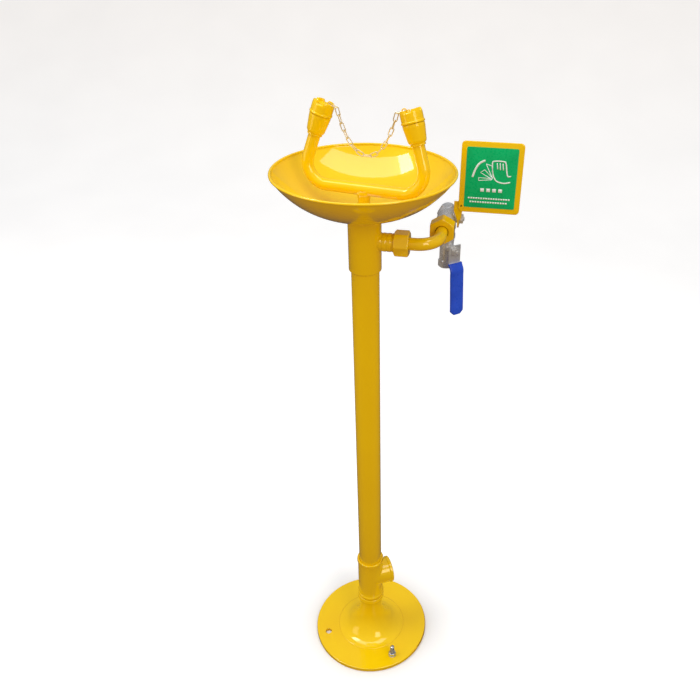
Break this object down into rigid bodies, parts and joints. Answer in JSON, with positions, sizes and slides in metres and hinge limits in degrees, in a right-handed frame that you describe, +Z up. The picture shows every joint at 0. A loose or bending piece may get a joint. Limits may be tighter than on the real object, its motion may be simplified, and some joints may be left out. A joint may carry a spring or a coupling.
{
  "type": "eyewash station",
  "caption": "Pedestal eyewash station with a round bowl, a twin-nozzle yoke under chained dust caps, a push plate valve, an isolating valve and a waste tee.",
  "frame": {"origin": "on the floor at the axis of the stand pipe", "axes": "+Z up along the stand pipe, +X to the user's right along the supply branch, +Y away from the user"},
  "size_m": [0.349, 0.297, 1.0576],
  "materials": {
    "yellow_coat": "gloss powder coat",
    "yellow_plastic": "gloss",
    "nickel": "satin nickel plate",
    "steel": "satin",
    "bright_ball": "polished",
    "zinc": "bright zinc plate",
    "seal_rubber": "matte",
    "seat_plastic": "matte",
    "filter_mesh": "woven",
    "chain_metal": "pale plated",
    "blue_grip": "dipped vinyl, satin",
    "green_label": "printed film"
  },
  "bodies": {
    "stand": {"base_disc": "yellow_coat", "base_bell": "yellow_coat", "blank_nipple": "yellow_coat", "waste_tee": "yellow_coat", "stand_pipe": "yellow_coat", "collar_tee": "yellow_coat", "bowl": "yellow_coat", "riser_pipe": "yellow_coat", "spray_yoke": "yellow_coat", "supply_bend": "yellow_coat", "collar_union_nut": "yellow_coat", "valve_union_nut": "yellow_coat", "inlet_nipple": "yellow_coat", "collar_union_tail": "yellow_coat", "valve_union_tail": "yellow_coat", "union_spigot": "yellow_coat", "nozzle_head_left": "yellow_plastic", "nozzle_head_right": "yellow_plastic", "spray_face_left": "yellow_plastic", "spray_face_right": "yellow_plastic", "push_valve_body": "nickel", "push_valve_end": "nickel", "rear_elbow": "nickel", "elbow_nipple": "nickel", "isolator_valve_body": "nickel", "isolator_valve_end": "nickel", "push_gland_nut": "nickel", "isolator_gland_nut": "nickel", "feed_elbow": "steel", "waste_spigot": "steel", "bowl_strainer": "steel", "anchor_stud": "zinc", "anchor_nut": "zinc", "anchor_washer": "zinc", "bowl_gasket": "seal_rubber", "collar_union_gasket": "seal_rubber", "valve_union_gasket": "seal_rubber", "push_lower_seat": "seat_plastic", "push_upper_seat": "seat_plastic", "isolator_lower_seat": "seat_plastic", "isolator_upper_seat": "seat_plastic", "filter_disc_left": "filter_mesh", "filter_disc_right": "filter_mesh", "chain_left": "chain_metal", "chain_right": "chain_metal"},
    "push_lever": {"push_ball": "bright_ball", "push_stem": "steel", "push_stem_nut": "steel", "push_arm": "yellow_coat", "push_plate": "yellow_coat", "push_sticker": "green_label", "plate_rivets": "steel"},
    "isolator_handle": {"isolator_ball": "bright_ball", "isolator_stem": "steel", "isolator_stem_nut": "steel", "isolator_lever": "steel", "lever_sleeve": "blue_grip"},
    "cap_left": {"dust_cap_left": "yellow_plastic"},
    "cap_right": {"dust_cap_right": "yellow_plastic"}
  },
  "joints": [
    {"name": "push_plate_swing", "type": "hinge", "parent": "stand", "child": "push_lever", "pos_m": [0.107, 0.11, 0.864], "axis": [-1, 0, 0], "range_deg": [0, 90]},
    {"name": "isolator_turn", "type": "hinge", "parent": "stand", "child": "isolator_handle", "pos_m": [0.107, 0.151, 0.798], "axis": [0.6428, -0.766, 0], "range_deg": [0, 90]},
    {"name": "cap_left_pull", "type": "slide", "parent": "stand", "child": "cap_left", "axis": [0.3207, 0.0741, 0.9443], "range_m": [0, 0.03], "deforming": ["chain_left"]},
    {"name": "cap_right_pull", "type": "slide", "parent": "stand", "child": "cap_right", "axis": [-0.2791, 0.1744, 0.9443], "range_m": [0, 0.03], "deforming": ["chain_right"]}
  ]
}
